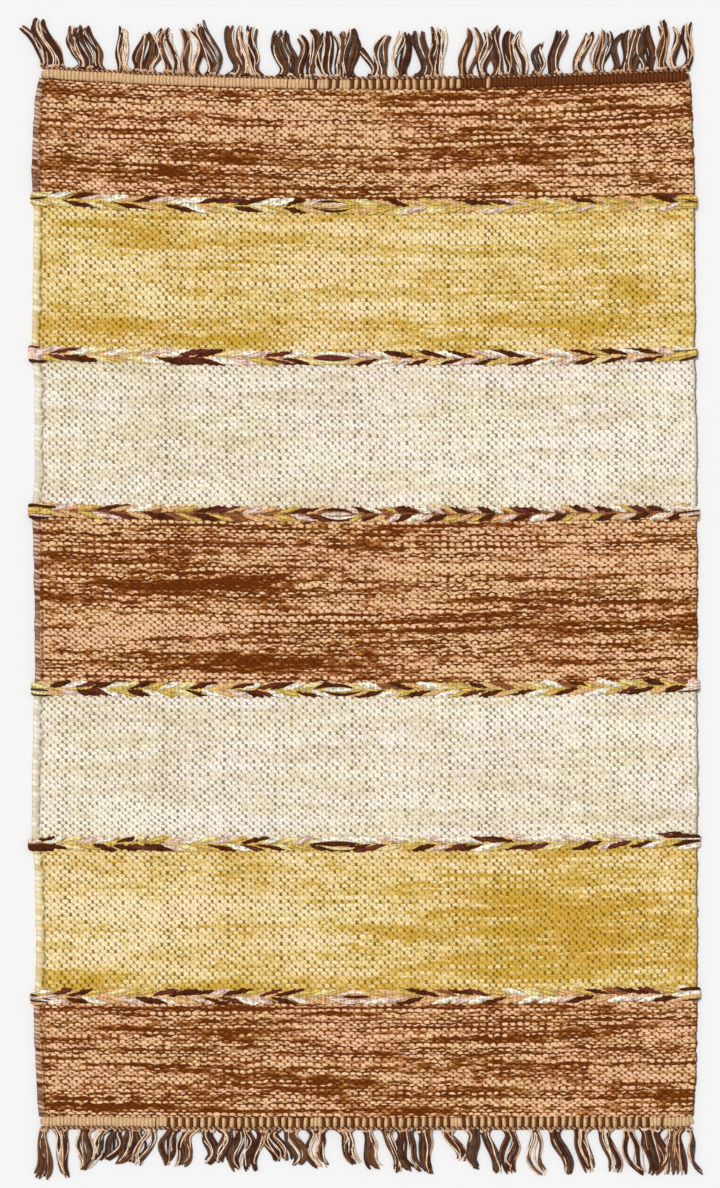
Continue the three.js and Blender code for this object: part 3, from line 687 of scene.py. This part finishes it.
def braid_floats(line, eye, advances, lengths, cycles, seed, rings, sides, top):
    """Leaf-shaped floats. Each runs from the middle of the braid out to its edge, away from its
    chevron's point, along y = edge s^p with s from 0 at its inner end to 1 and p from 0.6 to 0.95,
    and its half width is sin(pi s)^0.6 of the fullest, pressed in and out by the warps. The outer
    end rides higher, on the float before it. Those of the underside are flatter and lie lower."""
    rng = np.random.default_rng(seed)
    y0, _, _, left, right = LINES[line]
    starts, runs, rows, dyes = [], [], [], []
    for half, (advance, length, end) in enumerate(zip(advances, lengths, (left, right))):
        out = -1 if half == 0 else 1
        room = abs(end - eye) - EYE_ROOM
        count = int(room / advance)
        inner = eye + out * (EYE_ROOM + (np.arange(count) + 1.0) * room / count)
        for row, cycle in zip((1, -1), cycles[2 * half : 2 * half + 2]):
            starts.append(inner + rng.uniform(-2.6, 2.6, count) + (0 if row > 0 else out * 2.0))
            runs.append(-out * length * rng.uniform(0.58, 0.92, count))
            rows.append(np.full(count, row))
            dyes.append(np.resize([int(c) for c in cycle], count))
    starts, runs, rows, dyes = (np.concatenate(v)[:, None] for v in (starts, runs, rows, dyes))
    count = len(starts)
    dark = np.isin(dyes, DARK_YARNS)
    runs = runs * np.where(dark, DARK_LONGER, 1.0)
    s = np.linspace(0, 1, rings)[None, :]
    x = np.clip(starts + runs * s, left + END_ROOM, right - END_ROOM)
    edge = BRAID_WIDE / 2 - rng.uniform(1.6, 2.6, (count, 1))
    bend = rng.uniform(-0.5, 0.5, (count, 1)) * np.sin(2 * np.pi * s)
    bend = bend + rng.normal(0, 0.28, (count, rings))
    y = y0 + rows * (0.5 + (edge - 0.5) * s ** rng.uniform(0.6, 0.95, (count, 1)) + bend)
    full = np.sin(np.pi * np.clip(s, 0.015, 0.985)) ** 0.6
    thin, thick = rng.uniform(*DARK_HALF, (count, 1)), rng.uniform(*PALE_HALF, (count, 1))
    wide = full * np.where(dark, thin, thick)
    wide = wide * rng.uniform(0.62, 1.22, (count, rings))
    if top:
        z, high = TOP_Z + 0.15 * s + rng.uniform(-0.3, 0.3, (count, 1)), full * TOP_HIGH
    else:
        z, high = UNDER_Z - 0.1 * s, full * UNDER_HIGH
    return tubes_along(places(x, lay(x, y), z), wide, high, sides, dyes)


def eye_floats(line, eye, parts, rings, sides):
    """Thick leaves about the eye, y = offset (1 - 0.85 t^2) with t from -1 to 1 along each."""
    dye, dx, dy, half, wide = np.array(parts).T[:, :, None]
    t = np.linspace(-1, 1, rings)[None, :]
    x = eye + dx + half * t
    y = LINES[line, 0] + dy * (1 - 0.85 * t * t)
    full = np.cos(np.pi / 2 * np.clip(t, -0.98, 0.98)) ** 0.6
    path = places(x, lay(x, y), EYE_Z + 0.06 * np.abs(dy))
    return tubes_along(path, wide * full, EYE_HIGH * full, sides, dye)


def end_wraps(line, side, wraps, rings, sides):
    """The wefts round a selvedge. Each comes out of the braid as a tapering leaf, runs level to the
    edge, and goes round it and under: x = edge + side (bulge cos(a) - 0.6), z = WRAP_Z + WRAP_RISE
    sin(a), with less bulge the farther it is from the braid's line. Its section is flat, its half
    width by WRAP_HIGH, and narrows to 0.6 of that round the edge. Each lies 0.12 mm over the one
    before."""
    y0, _, _, left, right = LINES[line]
    edge, bulge = (left, LEFT_BULGE) if side < 0 else (right, RIGHT_BULGE)
    dye, y_end, y_inner, wide, reach = np.array(wraps).T[:, :, None]
    bulge = bulge * np.sqrt(1 - (y_end / 10.5) ** 2)
    run_in = np.linspace(0, 1, rings)[None, :]
    angle = np.linspace(np.pi / 2, -1.4, rings)[None, 1:]
    inner = places(
        edge - side * (reach * (1 - run_in) + 0.6 * run_in),
        y_inner + (y_end - y_inner) * run_in**1.4,
        5.3 + 0.1 * run_in,
    )
    outer = places(
        edge + side * (bulge * np.cos(angle) - 0.6),
        y_end * (0.8 + 0.2 * np.sin(angle)),
        WRAP_Z + WRAP_RISE * np.sin(angle),
    )
    x, y, z = np.moveaxis(np.concatenate([inner, outer], axis=1), -1, 0)
    order = np.arange(len(wraps))[:, None] * 0.12
    path = places(x, lay(x, y0 + y), z + order * (z > 4))
    taper = np.sqrt(np.clip(1.02 - (1 - np.clip(2 * run_in[0], 0, 1)) ** 2, 0.02, 1))
    full = np.concatenate([taper, 0.6 + 0.4 * np.abs(np.sin(angle[0]))])[None, :]
    level = np.array([0.0, 1.0, 0.0])
    up = unit(np.cross(unit(np.gradient(path, axis=1)), level))
    return tubes_along(path, wide * full, WRAP_HIGH * full, sides, dye, level, up, lowest=0.05)


def braid_core(line, colour, rings, sides):
    """The twisted core that fills the braid between its floats: one flat tube from end to end."""
    y0, _, _, left, right = LINES[line]
    x = np.linspace(left + 0.6, right - 0.6, rings)[None, :]
    ends = np.clip(np.minimum(x - left, right - x) / 2.5, 0.3, 1)
    path = places(x, lay(x, y0), CORE_Z)
    return tubes_along(path, (BRAID_WIDE / 2 - 1.4) * ends, CORE_HIGH * ends, sides, colour)


def joined(parts):
    """One mesh's points, faces, UVs and dye numbers from tubes of several sizes, whose points are
    numbered tube, ring, side: quads along each tube and an end polygon at each end."""
    faces, start = [], 0
    for points, _, _ in parts:
        number = start + np.arange(points[..., 0].size).reshape(points.shape[:3])
        closed = np.concatenate([number, number[..., :1]], axis=-1)
        faces += cells(closed)[..., [0, 3, 2, 1]].reshape(-1, 4).tolist()
        faces += number[:, 0, ::-1].tolist() + number[:, -1].tolist()
        start += number.size
    points = np.concatenate([part[0].reshape(-1, 3) for part in parts])
    uv = np.concatenate([part[1].reshape(-1, 2) for part in parts])
    return points, faces, uv, np.concatenate([part[2] for part in parts])


def dyed_yarn_material(name, yarns, turns, streak, ribs=None, darkest=None):
    """Yarn whose colour is picked by the number in the dye attribute. turns is ply turns for each
    mm, and streak is how far strands of the yarn stray from its colour. ribs is the pitch in mm at
    which warps underneath press lines into it, painted with shade towards the darkest colour."""
    material, w = new_material(name)
    dye = w.attribute("dye")
    share = w.sums("DIVIDE", w.sums("ADD", dye, 0.5), float(len(yarns)))
    ramp = w.node("ShaderNodeValToRGB", Fac=share)
    ramp.color_ramp.interpolation = "CONSTANT"
    stops = ramp.color_ramp.elements
    stops[0].color, stops[1].color = linear(yarns[0]), linear(yarns[-1])
    stops[1].position = (len(yarns) - 1) / len(yarns)
    for i, yarn_colour in enumerate(yarns[1:-1], start=1):
        stops.new(i / len(yarns)).color = linear(yarn_colour)
    along, round_it = w.yarn_place()
    yarn = w.group(YARN, Along=along, Over=w.times(round_it, 3.0), Turns=turns)
    strands = w.noise((along, 0.16), (round_it, 11.0), dye, detail=2.0)
    shade = w.step(strands, 0.36, 0.6, 1 - streak, 1.18)
    shade = w.times(shade, w.step(yarn["Mottle"], 0.3, 0.66, 0.72, 1.2))
    colour = w.shaded(ramp.outputs[0], shade)
    height = w.times(strands, 1.2, w.times(yarn["Height"], 0.5))
    if ribs:
        place = w.node("ShaderNodeTexCoord").outputs["Object"]
        x = w.node("ShaderNodeSeparateXYZ", Vector=place).outputs[0]
        raised = w.step(w.arches(w.times(strands, 0.004, x), ribs * MM), 0.0, 0.42)
        height = w.sums("ADD", height, raised)
        # Painted shade in the lines that the warps press in.
        lines = w.times(w.sums("SUBTRACT", 1.0, raised), w.step(strands, 0.35, 0.6, 0.7, 0.2))
        colour = w.blend(lines, colour, linear(darkest))
    cotton_shader(w, colour, height, 0.4)
    return material


# The last colour is the painted shade in the lines that the warps press in.
BRAID_COTTON = dyed_yarn_material("braid_cotton", BRAID_YARNS, 0.45, 0.5, 3.4, (96, 60, 36))
for index, (core, eye, advances, lengths, *cycles) in enumerate(BRAIDS):
    line, seed = index + 1, 31 + index
    name = f"braid_{line}"
    parts = [
        braid_core(line, core, rings=90, sides=10),
        braid_floats(line, eye, advances, lengths, cycles, seed, rings=14, sides=8, top=True),
        braid_floats(line, eye, advances, lengths, cycles, seed + 50, rings=5, sides=5, top=False),
        eye_floats(line, eye, EYES[index], rings=13, sides=8),
        end_wraps(line, -1, LEFT_WRAPS[index], rings=9, sides=10),
        end_wraps(line, 1, RIGHT_WRAPS[index], rings=9, sides=10),
    ]
    points, faces, uv, dye = joined(parts)
    braid = mesh_piece(name + "_twining", points, faces, uv, {"dye": dye})
    braid.data.materials.append(BRAID_COTTON)
    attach(braid, "root")
    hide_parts(name)

# ---- The headings ----------------------------------------------------------------------------
# Across each end a few packed picks of two wefts, one tan and one brown, make a firm cord. Each
# warp raises a rib in it, tan and brown by turns where both wefts show.

HEADING_WIDE = 9.4  # mm
HEADING_HIGH = 6.2  # mm
HEADING_LAP = 0.4  # how far the cord laps over the cloth's end, mm
HEADING_SIDES = 14
SQUARENESS = 3.2  # power that makes the cord's section a rounded square
HEADING_TAPER = 1.2  # warps over which each end of the cord tapers
RIB_OUT, RIB_UP = 0.8, 0.7  # how far a rib stands out of the grooves, sideways and upwards, mm
# x in mm, and how much of the even and of the odd ribs is brown there, for each heading.
FAR_RIBS = [
    (-300, 0.0, 0.05), (-75, 0.0, 0.1), (-45, 0.1, 0.75), (60, 0.1, 0.95), (120, 0.8, 1.0),
    (300, 1.0, 1.0),
]
NEAR_RIBS = [
    (-300, 0.0, 0.0), (-215, 0.0, 0.1), (-175, 0.05, 0.8), (250, 0.05, 0.9), (275, 0.0, 0.1),
    (300, 0.0, 0.0),
]
# The tan and brown wefts' colours, and the colour of the painted shade in the grooves between ribs.
HEADING_TAN, HEADING_BROWN, HEADING_GROOVE_SHADE = (228, 186, 140), (108, 58, 27), (64, 30, 8)


def heading_tube(line, outward, ribs, seed):
    """A closed tube with a squarish section. Its height and width swell over each warp by
    |cos(pi u)|, so ribs stand between grooves, each of its own width, lean and reach. Gives the
    points, UVs and 1 for each point of a brown rib, or 0 for a tan one."""
    rng = np.random.default_rng(seed)
    y0, _, _, left, right = LINES[line]
    u = np.linspace(0, WARPS, 5 * WARPS + 1)
    own = rng.uniform(-1, 1, (3, WARPS + 2)) * np.array([[0.16], [1.0], [0.5]])
    shift, uneven, lean = (np.interp(u, np.arange(WARPS + 2), row) for row in own)
    x = left + 1.5 + (right - left - 3) * (u + shift) / WARPS
    swell = np.abs(np.cos(np.pi * u))
    angle = (np.arange(HEADING_SIDES) + 0.5) * 2 * np.pi / HEADING_SIDES
    cos, sin = np.cos(angle), np.sin(angle)
    square = (np.abs(cos) ** SQUARENESS + np.abs(sin) ** SQUARENESS) ** (-1 / SQUARENESS)
    sideways, upwards = (cos * square)[None, :], (sin * square)[None, :]
    ends = np.clip(np.minimum(u, WARPS - u) / HEADING_TAPER, 0.55, 1)
    wobble = np.interp(u, np.arange(0, WARPS + 1, 3), rng.uniform(-0.5, 0.5, WARPS // 3 + 1))
    half = (HEADING_WIDE / 2 - RIB_OUT + (RIB_OUT + 0.4 * uneven) * swell) * ends
    middle = y0 + outward * (HEADING_WIDE / 2 - HEADING_LAP) + wobble
    y = lay(x[:, None], middle[:, None]) + half[:, None] * sideways
    tall = (HEADING_HIGH / 2 - RIB_UP + (RIB_UP + 0.2 * uneven) * swell) * ends
    z = np.maximum(HEADING_HIGH / 2 + tall[:, None] * upwards, 0.0)
    points = places(x[:, None] + lean[:, None] * sideways, y, z)
    rib = np.round(u).astype(int)
    at, even, odd = np.array(ribs).T
    share = np.where(rib % 2 == 0, np.interp(x, at, even), np.interp(x, at, odd))
    brown = share > rng.uniform(0.12, 0.88, WARPS + 1)[rib]
    return points[None], places(u[:, None], y - y0)[None], np.repeat(brown * 1.0, HEADING_SIDES)


def heading_material():
    """Ribs coloured by the dye attribute, with the thin lines of the picks across them. The grooves
    between ribs get painted shade, deeper beside brown ribs, and each rib's own more or less so."""
    material, w = new_material("heading_cotton")
    dye = w.attribute("dye")
    u, v = w.yarn_place()
    yarn = w.group(YARN, Along=w.times(u, 3.4), Over=v, Turns=0.5)
    colour = w.blend(w.step(dye, 0.25, 0.75), linear(HEADING_TAN), linear(HEADING_BROWN))
    colour = w.shaded(colour, w.step(yarn["Mottle"], 0.3, 0.7, 0.7, 1.14))
    rib = w.arches(w.times(yarn["Mottle"], 0.24, u), 1.0, "COSINE")
    groove = w.sums("SUBTRACT", 1.0, w.step(rib, 0.0, 0.85))
    own_depth = w.step(w.chance(w.sums("ROUND", u)), 0.0, 1.0, 0.0, 0.3)
    depth = w.sums("ADD", own_depth, w.step(dye, 0.25, 0.75, 0.25, 0.65))
    # Painted shade in the grooves between the ribs.
    colour = w.blend(w.times(groove, depth), colour, linear(HEADING_GROOVE_SHADE))
    pick_lines = w.step(w.arches(v, 2.1), 0.0, 0.5)
    height = w.times(pick_lines, 0.35, w.times(yarn["Height"], 0.4))
    cotton_shader(w, colour, w.sums("SUBTRACT", height, groove), 0.4)
    return material


HEADING_COTTON = heading_material()
for name, line, outward, ribs, seed in (
    ("heading_far", 0, 1, FAR_RIBS, 41),
    ("heading_near", 7, -1, NEAR_RIBS, 42),
):
    points, faces, uv, dye = joined([heading_tube(line, outward, ribs, seed)])
    heading = mesh_piece(name + "_cord", points, faces, uv, {"dye": dye})
    heading.data.materials.append(HEADING_COTTON)
    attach(heading, "root")
    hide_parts(name)

# ---- The fringes -----------------------------------------------------------------------------
# The warps' ends, knotted off in tufts on a two-strand locking twist. Each tuft is a loose bundle
# of thin two-ply yarns, dark brown and grey-brown with cream ones among them, lying on the floor.

FRINGE_YARNS = [
    (76, 44, 32),  # 0 dark brown
    (110, 72, 48),  # 1 brown
    (88, 66, 54),  # 2 grey-brown
    (250, 222, 194),  # 3 cream
    (216, 168, 128),  # 4 tan
]
TWIST_WIDE = 2.6  # mm
TWIST_TURN = 4.6  # length of a whole turn of the two strands, mm
TWIST_HALF, TWIST_Z = 0.85, 2.3  # half thickness of a strand, and height of the twist's middle, mm
ROOT_OUT = 0.6  # how far the roots lie beyond the cord's usual edge, mm
ROOT_SINK = 1.6  # how far the yarns reach back under the twist, mm
YARN_ROOM = 1.15  # width of tuft to each yarn, mm
CREAM_HALF, BROWN_HALF = (0.52, 0.72), (1.05, 1.4)  # limits of the yarns' half thickness, mm
LOOSE_CREAM, LOOSE_BROWN = (0.8, 2.2), (0.2, 0.7)  # limits of how far yarns wander, mm
# Each tuft from left to right, mm: the middle of its root, the lean of its tip, its length, its
# width at the root and at the tip, and the share of cream yarns.
FAR_TUFTS = np.array([
    (-290, -21, 36, 7, 7, 0.45), (-280, -15.5, 43, 15, 13, 0.25), (-250, -10, 38, 25, 22, 0.35),
    (-217, -2, 39, 12.5, 8, 0.5), (-200, 3, 34, 19.5, 12, 0.35), (-175, -5, 39, 17, 10.5, 0.5),
    (-157, -5, 40, 14, 14, 0.5), (-140, -9, 47, 10, 6, 0.5), (-109, -3, 43, 30, 29, 0.45),
    (-72, -3, 40, 16, 16, 0.25), (-59, 0, 37, 7, 6.5, 0.4), (-49, 1, 41, 11, 9.5, 0.3),
    (-34, -2, 40, 11, 12.5, 0.5), (-24, 1, 39, 6.5, 11.5, 0.25), (-14, 2.5, 42, 11.5, 9, 0.3),
    (5, -8.5, 25, 5, 5, 0.25), (14, 5, 37, 11, 13, 0.35), (32, 3.5, 41, 13, 9, 0.4),
    (51, -3.5, 41, 12.5, 12, 0.3), (65, 0, 44, 12.5, 17, 0.4), (92, 5.5, 43, 12, 12, 0.45),
    (108, 3, 41, 8, 12, 0.25), (120, 0.5, 43, 11, 5.5, 0.45), (133, -1, 40, 10.5, 8, 0.3),
    (143, -2, 39, 7.5, 6, 0.25), (155, 6, 29, 8, 6, 0.5), (173, 6, 39, 12, 15, 0.3),
    (194, 10, 37, 12, 9.5, 0.4), (212, 5, 38, 11, 13.5, 0.35), (229, 7.5, 36, 12, 10, 0.3),
    (243, 3.5, 38, 11.5, 8, 0.4), (255, 0, 41, 10.5, 6, 0.3), (269.5, -0.5, 43, 12, 11, 0.25),
    (280, 0, 37, 6.5, 8, 0.3), (289, 5, 40, 8.5, 12, 0.45),
])
NEAR_TUFTS = np.array([
    (-291, -2, 44, 4.5, 16, 0.45), (-277, 5, 42, 13, 8, 0.4), (-252, -3, 37, 12, 10.5, 0.3),
    (-234.5, -11, 28, 12, 7, 0.3), (-223.5, -11, 27, 7, 12.5, 0.25), (-210, -10, 30, 15, 14, 0.25),
    (-195, -11, 31, 11, 11, 0.3), (-173, -7, 31, 10, 7, 0.3), (-158, -10, 32, 15.5, 15, 0.3),
    (-143, 1, 30, 12.5, 7, 0.3), (-128, -5, 29, 12, 8, 0.35), (-112, -0.5, 36, 14, 19.5, 0.35),
    (-94, -4.5, 36, 11.5, 6.5, 0.3), (-82, 6, 27, 11.5, 18.5, 0.45), (-67, 6, 32, 13, 10.5, 0.5),
    (-44, 5, 33, 17, 15, 0.5), (-19, 11, 30, 15, 14, 0.3), (2, 9, 34, 9, 14, 0.3),
    (21, 8, 37, 12, 8.5, 0.5), (36, 8, 36, 15, 19.5, 0.3), (53, 5.5, 38, 14, 8, 0.4),
    (75, 11, 27, 11, 11, 0.35), (97, 3, 34, 12.5, 8, 0.25), (109, 10, 38, 9.5, 8, 0.35),
    (130, 2, 38, 11, 15, 0.4), (153, 9, 39, 7, 10, 0.3), (172, 12, 39, 11, 9, 0.3),
    (197, 7, 38, 14, 8.5, 0.35), (218, 8, 38, 13, 17, 0.25), (238, 14.5, 40, 10, 5, 0.35),
    (259, 2.5, 40, 19, 10.5, 0.35), (282, 0, 40, 15, 22, 0.45), (293, 11, 41, 4.5, 7, 0.45),
])


def locking_twist(line, outward, rings, sides):
    """Two strands wound about each other along the heading's outer side, a turn each TWIST_TURN."""
    y0, _, _, left, right = LINES[line]
    x = np.linspace(left + 1.5, right - 1.5, rings)[None, :]
    angle = 2 * np.pi * x / TWIST_TURN + np.array([0, np.pi])[:, None]
    middle = y0 + outward * (HEADING_WIDE + TWIST_WIDE / 2 - HEADING_LAP)
    path = places(x, lay(x, middle) + 0.75 * np.cos(angle), TWIST_Z + 0.8 * np.sin(angle))
    half = np.full(path.shape[:2], TWIST_HALF)
    return tubes_along(path, half, half, sides, (4, 1))


def tuft_yarns(line, outward, tufts, seed, rings, sides):
    """Yarns of all tufts at once. With t from 0 at the root to 1 at the tip, the tuft's middle goes
    as lean t^2 (2 - t) + sway sin(pi t) + curl sin(2 pi t). The brown yarns keep their places in
    the bundle, whose half width flares at the root, pinches, and goes on to the tip's. The cream
    ones lie on top and wander across it or round its sides. Some tufts open in the middle."""
    rng = np.random.default_rng(seed)
    broadest = np.maximum(tufts[:, 3], 0.8 * tufts[:, 4])
    counts = np.maximum(5, np.round(broadest / YARN_ROOM).astype(int))
    own = np.repeat(np.arange(len(tufts)), counts)
    at, lean, long, wide, fan, pale = tufts[own].T[:, :, None]
    place = np.concatenate([(np.arange(n) + 0.5) / n * 2 - 1 for n in counts])[:, None]

    def per_tuft(low, high):
        return rng.uniform(low, high, len(tufts))[own][:, None]

    def per_yarn(low, high):
        return rng.uniform(low, high, at.shape)

    t = np.linspace(0, 1, rings)[None, :]
    sway = per_tuft(-3.8, 3.8)
    curl = per_tuft(1.2, 3.0) * rng.choice([-1, 1], len(tufts))[own][:, None]
    belly = per_tuft(-0.1, 0.85)
    opening = per_tuft(-1.2, 1.0).clip(0) * 3.4
    cream = per_yarn(0, 1) < pale
    tip_place = np.clip(0.85 * place + rng.normal(0, 0.2, at.shape), -1.1, 1.1)
    root_half, tip_half = wide / 2 - 0.6, np.maximum(fan / 2 - 0.8, 1.4)
    neck = 1 + 0.25 * np.exp(-((t / 0.06) ** 2)) - 0.35 * np.exp(-(((t - 0.22) / 0.14) ** 2))
    x = at + place * root_half * (1 - t) * neck + tip_place * tip_half * t
    x = x + (place * belly * root_half + np.sign(place) * opening) * np.sin(np.pi * t) ** 1.5
    x = x + lean * t * t * (2 - t) + sway * np.sin(np.pi * t) + curl * np.sin(2 * np.pi * t)
    loose = np.where(cream, per_yarn(*LOOSE_CREAM), per_yarn(*LOOSE_BROWN))
    beat, phase = per_yarn(0.7, 1.4), per_yarn(0, 2 * np.pi)
    x = x + loose * np.sin(2 * np.pi * beat * t + phase) * np.minimum(1, 3 * t)
    reach = long * per_yarn(0.88, 1.03)
    root = LINES[line, 0] + outward * (ROOT_OUT + HEADING_WIDE + TWIST_WIDE - ROOT_SINK)
    y = lay(at, root) + outward * (reach + ROOT_SINK) * (t - 0.03 * np.sin(2 * np.pi * t))
    radius = np.where(cream, per_yarn(*CREAM_HALF), per_yarn(*BROWN_HALF))
    layer = per_yarn(0, 0.8) + cream * 1.5
    z = radius + layer + 1.3 * (1 - t) ** 4 + 0.3 * np.sin(5 * t + phase)
    z = z - np.maximum(0, z - radius) * 0.3 * t
    half = radius * np.where(t > 0.97, 0.55, 1.0)
    darks = rng.choice([0, 0, 0, 1, 1, 2], at.shape)
    dye = np.where(cream, rng.choice([3, 3, 3, 4], at.shape), darks)
    return tubes_along(places(x, y, z), half, half * 0.9, sides, dye)


def root_knots(line, outward, tufts, seed, rings, sides):
    """The hitches at the tufts' roots: three short fat loops side by side over each tuft's root,
    each a half wave y = root + reach sin(pi s) between its feet on the twist."""
    rng = np.random.default_rng(seed)
    at, _, _, wide, _, _ = np.repeat(tufts, 3, axis=0).T[:, :, None]

    def per_loop(low, high):
        return rng.uniform(low, high, at.shape)

    place = np.tile([-0.66, 0.0, 0.66], len(tufts))[:, None] + per_loop(-0.15, 0.15)
    s = np.linspace(0, 1, rings)[None, :]
    span = np.maximum(wide / 3, 2.4) * per_loop(0.8, 1.2)
    x = at + place * wide / 2 + (s - 0.5) * span
    root = LINES[line, 0] + outward * (ROOT_OUT + HEADING_WIDE + per_loop(0.2, 1.0))
    y = lay(at, root) + outward * per_loop(1.2, 3.0) * np.sin(np.pi * s)
    z = 2.9 + 1.0 * np.sin(np.pi * s) + per_loop(-0.4, 0.4)
    thick = per_loop(0.9, 1.4) * np.sin(np.pi * (0.12 + 0.76 * s)) ** 0.6
    dye = rng.choice([4, 4, 3, 4, 1, 0], len(at))
    return tubes_along(places(x, y, z), thick, thick, sides, dye)


FRINGE_COTTON = dyed_yarn_material("fringe_cotton", FRINGE_YARNS, 0.42, 0.4)
for name, line, outward, tufts, seed in (
    ("fringe_far", 0, 1, FAR_TUFTS, 51),
    ("fringe_near", 7, -1, NEAR_TUFTS, 52),
):
    parts = [
        locking_twist(line, outward, rings=640, sides=6),
        tuft_yarns(line, outward, tufts, seed, rings=13, sides=6),
        root_knots(line, outward, tufts, seed + 10, rings=7, sides=6),
    ]
    points, faces, uv, dye = joined(parts)
    fringe = mesh_piece(name + "_tufts", points, faces, uv, {"dye": dye})
    fringe.data.materials.append(FRINGE_COTTON)
    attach(fringe, "root")
    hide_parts(name)

# ---- The floor, light and camera -------------------------------------------------------------
# A pale studio floor, a soft key light from the upper left, an even surround, and a camera
# straight above with a long lens.

world = bpy.data.worlds.new("surround")
world.use_nodes = True
world.node_tree.nodes["Background"].inputs["Color"].default_value = (1.0, 1.0, 1.0, 1)
world.node_tree.nodes["Background"].inputs["Strength"].default_value = 0.5
bpy.context.scene.world = world
bpy.context.scene.view_settings.view_transform = "Standard"

bpy.ops.mesh.primitive_plane_add(size=8)
floor = bpy.context.object
floor.name = "studio_floor"
floor_paint, w = new_material("studio_floor_paint")
shader = w.node("ShaderNodeBsdfPrincipled", Roughness=0.9)
shader.inputs["Base Color"].default_value = (0.847, 0.847, 0.847, 1)
shader.inputs["Specular IOR Level"].default_value = 0.1
w.node("ShaderNodeOutputMaterial", Surface=shader.outputs[0])
floor.data.materials.append(floor_paint)

key = bpy.data.lights.new("key", "SUN")
key.energy = 2.05
key.angle = math.radians(5)
key_light = bpy.data.objects.new("key", key)
key_light.rotation_euler = (math.radians(-16), math.radians(-20), 0)
bpy.context.scene.collection.objects.link(key_light)

PIXEL = 0.905 * MM  # width of one pixel of the 720 by 1188 frame, on the rug
FRAME_HIGH = 1188  # pixels
LENS, SENSOR = 100, 36  # mm
camera = bpy.data.cameras.new("above")
camera.lens = LENS
camera.sensor_fit = "VERTICAL"
camera.sensor_height = SENSOR
camera.clip_end = 20
above = bpy.data.objects.new("above", camera)
above.location = (-5 * PIXEL, 6 * PIXEL, FRAME_HIGH * PIXEL * LENS / SENSOR + CLOTH * MM)
bpy.context.scene.collection.objects.link(above)
bpy.context.scene.camera = above
